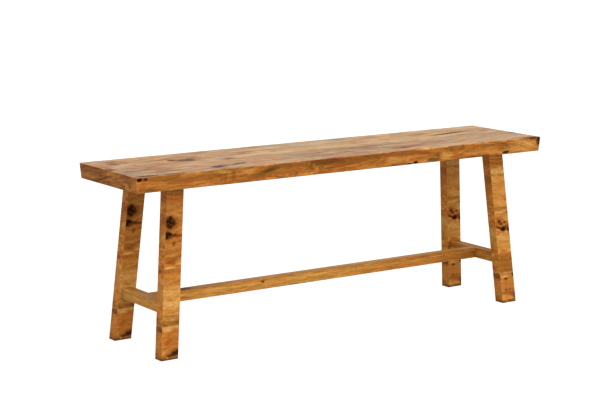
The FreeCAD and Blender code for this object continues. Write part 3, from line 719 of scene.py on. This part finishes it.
LEG_STAINS = {
    "left": [
        stain(0, 0, 380, ROUND, ROUND, 75, AMBER, 0.65),
        stain(0, 0, 400, ROUND, ROUND, 12, ORANGE, 0.45),
        stain(0, 0, 420, ROUND, ROUND, 12, BROWN, 0.55),
        stain(-2, 0, 379, 30, THROUGH, 5, GOLDEN, 0.75, (0.0, 0.0, -0.12)),
        stain(8, 0, 360, 12, THROUGH, 4, HONEY, 0.60),
        stain(-12, 0, 340, 22, THROUGH, 22, BROWN, 0.65),
        stain(6, 0, 342, 11, THROUGH, 12, OLIVE, 0.75),
        stain(-16, 0, 366, 16, THROUGH, 2.5, DEEP, 0.30, (0.0, 0.0, -0.5)),
        stain(18, 0, 332, 9, THROUGH, 14, GOLDEN, 0.55),
        stain(-12, 0, 327, 10, THROUGH, 3, ORANGE, 0.60),
        stain(0, 0, 309, 30, THROUGH, 7, RUSSET, 0.80),
        stain(0, 0, 291, 9, THROUGH, 9, RUSSET, 0.50),
        stain(0, 0, 290, 4.8, THROUGH, 5.0, GARNET, 1.0),
        stain(0, 0, 268, ROUND, THROUGH, 24, AMBER, 0.60),
        stain(10, 0, 272, 9, THROUGH, 2, RUSSET, 0.60, (0.0, 0.0, -1.3)),
        stain(0, 0, 200, ROUND, THROUGH, 34, GOLDEN, 0.75),
        stain(0, 0, 212, 24, THROUGH, 9, ORANGE, 0.45),
        stain(-11, 0, 231, 15, THROUGH, 3.0, PALE, 0.90),
        stain(-6, 0, 196, 18, THROUGH, 3, HONEY, 0.55),
        stain(0, 0, 168, ROUND, THROUGH, 20, HONEY, 0.90),
        stain(0, 0, 172, ROUND, THROUGH, 5, PALE, 0.35),
        stain(-8, 0, 163, 26, THROUGH, 2.4, PALE, 0.65),
        stain(0, 0, 128, ROUND, THROUGH, 24, HONEY, 0.80),
        stain(-4, 0, 138, 30, THROUGH, 8, PALE, 0.75),
        stain(0, 0, 118, ROUND, THROUGH, 2, BROWN, 0.35, (0.0, 0.0, 0.08)),
        stain(4, 0, 110, 30, THROUGH, 2, BROWN, 0.45, (0.0, 0.0, -0.1)),
        stain(2, 0, 94, 30, THROUGH, 4, BROWN, 0.60),
        stain(0, 0, 82, ROUND, THROUGH, 3.5, PALE, 0.70),
        stain(0, 0, 48, ROUND, THROUGH, 24, ORANGE, 0.60),
        stain(2, 0, 44, 22, THROUGH, 12, AMBER, 0.60, (0.0, 0.0, 0.2)),
        stain(-2, 0, 47, 12, THROUGH, 6, RUSSET, 0.50, (0.0, 0.0, 0.4)),
        stain(4, 0, 17, 30, THROUGH, 9, BROWN, 0.60, (0.0, 0.0, 0.2)),
        stain(-15, 0, 7, 14, THROUGH, 6, OLIVE, 0.85),
        stain(4, 0, 12, 15, THROUGH, 4.0, DARK, 0.95, (0.0, 0.0, 0.15)),
        stain(23, 0, 17, 30, THROUGH, 9, DARK, 1.0, (0.0, 0.0, 0.25)),
        stain(25, 0, 18, 22, THROUGH, 7, HEART, 0.65, (0.0, 0.0, 0.25)),
        stain(0, 0, 0, ROUND, ROUND, 8, MOSS, 1.0),
        stain(0, 0, 0, ROUND, ROUND, 3, DARK, 0.70),
        stain(-7, 0, 6, 3.5, THROUGH, 2.0, HONEY, 0.75),
        stain(9, 0, 6, 8, THROUGH, 1.2, GOLDEN, 0.55, (0.0, 0.0, 0.10)),
    ],
    "right": [
        stain(0, 0, 412, ROUND, ROUND, 18, AMBER, 0.60),
        stain(0, 0, 378, ROUND, THROUGH, 6, PALE, 0.75),
        stain(0, 0, 369, ROUND, THROUGH, 2.0, BROWN, 0.60),
        stain(0, 0, 335, ROUND, THROUGH, 32, HONEY, 0.70),
        stain(10, 0, 344, 20, THROUGH, 2, AMBER, 0.60, (0.0, 0.0, 0.25)),
        stain(8, 0, 330, 24, THROUGH, 2, AMBER, 0.50, (0.0, 0.0, 0.18)),
        stain(-2, 0, 290, 30, THROUGH, 12, HONEY, 0.80, (0.0, 0.0, -0.20)),
        stain(6, 0, 274, 26, THROUGH, 2.5, BROWN, 0.50, (0.0, 0.0, -0.25)),
        stain(-6, 0, 254, 32, THROUGH, 13, HONEY, 0.70, (0.0, 0.0, -0.20)),
        stain(-2, 0, 224, 14, THROUGH, 12, GOLDEN, 0.60),
        stain(0, 0, 176, ROUND, THROUGH, 30, HONEY, 0.80),
        stain(-6, 0, 190, 24, THROUGH, 7, PALE, 0.50),
        stain(0, 0, 128, ROUND, THROUGH, 17, AMBER, 0.95),
        stain(0, 0, 104, ROUND, THROUGH, 17, AMBER, 0.95),
        stain(0, 0, 124, ROUND, THROUGH, 3, OLIVE, 0.50),
        stain(0, 0, 106, ROUND, THROUGH, 2.5, OLIVE, 0.55, (0.0, 0.0, 0.05)),
        stain(0, 0, 113, ROUND, THROUGH, 25, OLIVE, 0.50),
        stain(0, 0, 94, 30, THROUGH, 4, OLIVE, 0.75),
        stain(0, 0, 86, ROUND, THROUGH, 2, PALE, 0.50),
        stain(0, 0, 55, ROUND, THROUGH, 22, GOLDEN, 0.65),
        stain(-5, 0, 69, 8, THROUGH, 3.6, GARNET, 0.85),
        stain(4, 0, 27, 24, THROUGH, 8, RUSSET, 0.60),
        stain(0, 0, 0, ROUND, ROUND, 8, MOSS, 0.95),
        stain(0, 0, 0, ROUND, ROUND, 3, DARK, 0.60),
        stain(-4, 0, 12, 24, THROUGH, 3.0, HONEY, 0.85),
        stain(-8, 0, 4, 5, THROUGH, 1.6, HONEY, 0.70),
    ],
}

SIDE_STAINS = {
    "left": [
        stain(0, 0, 408, ROUND, ROUND, 18, BROWN, 0.45),
        stain(0, 0, 348, ROUND, ROUND, 14, RUSSET, 0.50),
        stain(0, 0, 328, ROUND, ROUND, 7, ORANGE, 0.60),
        stain(0, 0, 165, ROUND, ROUND, 32, HONEY, 0.60),
        stain(0, 0, 198, ROUND, ROUND, 4, PALE, 0.40),
        stain(0, 0, 90, ROUND, ROUND, 5, OLIVE, 0.60),
        stain(0, 0, 77, ROUND, ROUND, 9, DEEP, 0.85),
        stain(0, 0, 35, ROUND, ROUND, 20, ORANGE, 0.45),
        stain(0, 0, 0, ROUND, ROUND, 8, MOSS, 0.95),
    ],
    "right": [
        stain(0, 0, 345, ROUND, ROUND, 80, AMBER, 0.50),
        stain(0, 0, 408, ROUND, ROUND, 18, OLIVE, 0.50),
        stain(0, 0, 354, ROUND, ROUND, 12, BROWN, 0.70),
        stain(0, 0, 195, ROUND, ROUND, 34, HONEY, 0.60),
        stain(0, 0, 200, ROUND, ROUND, 10, PALE, 0.35),
        stain(0, 0, 124, ROUND, ROUND, 3, OLIVE, 0.60),
        stain(0, 0, 76, ROUND, ROUND, 10, DEEP, 0.85),
        stain(0, 0, 40, ROUND, ROUND, 20, GOLDEN, 0.50),
        stain(0, 0, 0, ROUND, ROUND, 8, MOSS, 0.95),
    ],
}


def rail_figure(nodes, point):
    """Figure that runs straight along the piece."""
    axes = nodes.separate(point)
    return nodes.math("MULTIPLY_ADD", axes["Y"], RAIL_TILT, axes["Z"])


def turned(nodes, point):
    """Point with X and Y changed over, for a piece that runs across the bench."""
    axes = nodes.separate(point)
    return nodes.combine(axes["Y"], axes["X"], axes["Z"])


RAIL_KNOTS = [knot(-201, -16, 133, 4, 10, 2.4, 0.8, 3)]
RAIL_STAINS = [
    stain(-350, -16, 126, 260, 12, 16, HONEY, 0.45),
    stain(-20, -16, 126, 300, 12, 16, STRAW, 0.70),
    stain(300, -16, 126, 220, 12, 16, AMBER, 0.60),
    stain(300, -16, 130, 220, 12, 10, STRAW, 0.30),
    stain(470, -16, 126, 90, 12, 16, OLIVE, 0.50),
    stain(60, 6, 142, 500, 14, 8, HONEY, 0.85),
    stain(130, 6, 142, 380, 14, 8, PALE, 0.60),
    # darker patch on the top of the rail towards its left end
    stain(-450, 2, 140, 40, 16, 4, DARK, 0.95),
]
END_RAIL_STAINS = [stain(0, -560, 126, 160, 20, 20, HONEY, 0.55)]


def paint(node, *settings):
    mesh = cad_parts[node].data
    mesh.materials.clear()
    mesh.materials.append(wood(node, *settings))


def on_side(items, side, reach=0.0):
    """Knots or stains on one side of the glue line, or no further than reach beyond it."""
    return [item for item in items if side * item[0][1] > -reach]


def add_materials():
    for side_name, side in SIDES.items():
        box = ((0.0, side * BOARD_HALF[1], SEAT_TOP - BOARD_HALF[2]), BOARD_HALF)
        knots = on_side(SEAT_KNOTS, side, KNOT_REACH)
        stains = on_side(SEAT_STAINS, side)
        end_stains = on_side(END_STAINS, side)
        figure = seat_figure(*PITHS[side_name])
        node = f"seat_board_{side_name}"
        paint(node, as_it_is, figure, SEAT_LOOK, box, knots, stains, SEAT_CROSS, end_stains)
    for end_name, end in ENDS.items():
        for side_name, side in SIDES.items():
            place = leg_place(end, side)
            knots, stains, sides = LEG_KNOTS[end_name], LEG_STAINS[end_name], SIDE_STAINS[end_name]
            # painted shade on the back legs' feet
            if side_name == "back":
                stains = BACK_FOOT_SHADE + stains
            node = f"leg_{side_name}_{end_name}"
            paint(node, place, leg_figure, LEG_LOOK, LEG_BOX, knots, stains, LEG_CROSS, sides)
        box = ((0.0, end * END_RAIL_PLACE, RAIL_LEVEL), END_RAIL_HALF)
        node = f"end_stretcher_{end_name}"
        paint(node, turned, rail_figure, RAIL_LOOK, box, (), END_RAIL_STAINS)
    paint("long_stretcher", as_it_is, rail_figure, RAIL_LOOK, LONG_RAIL_BOX, RAIL_KNOTS, RAIL_STAINS)
    paint("seat_joint_dowels", turned, rail_figure, RAIL_LOOK, DOWELS_BOX)


add_camera()
add_lights()
add_floor()
add_materials()
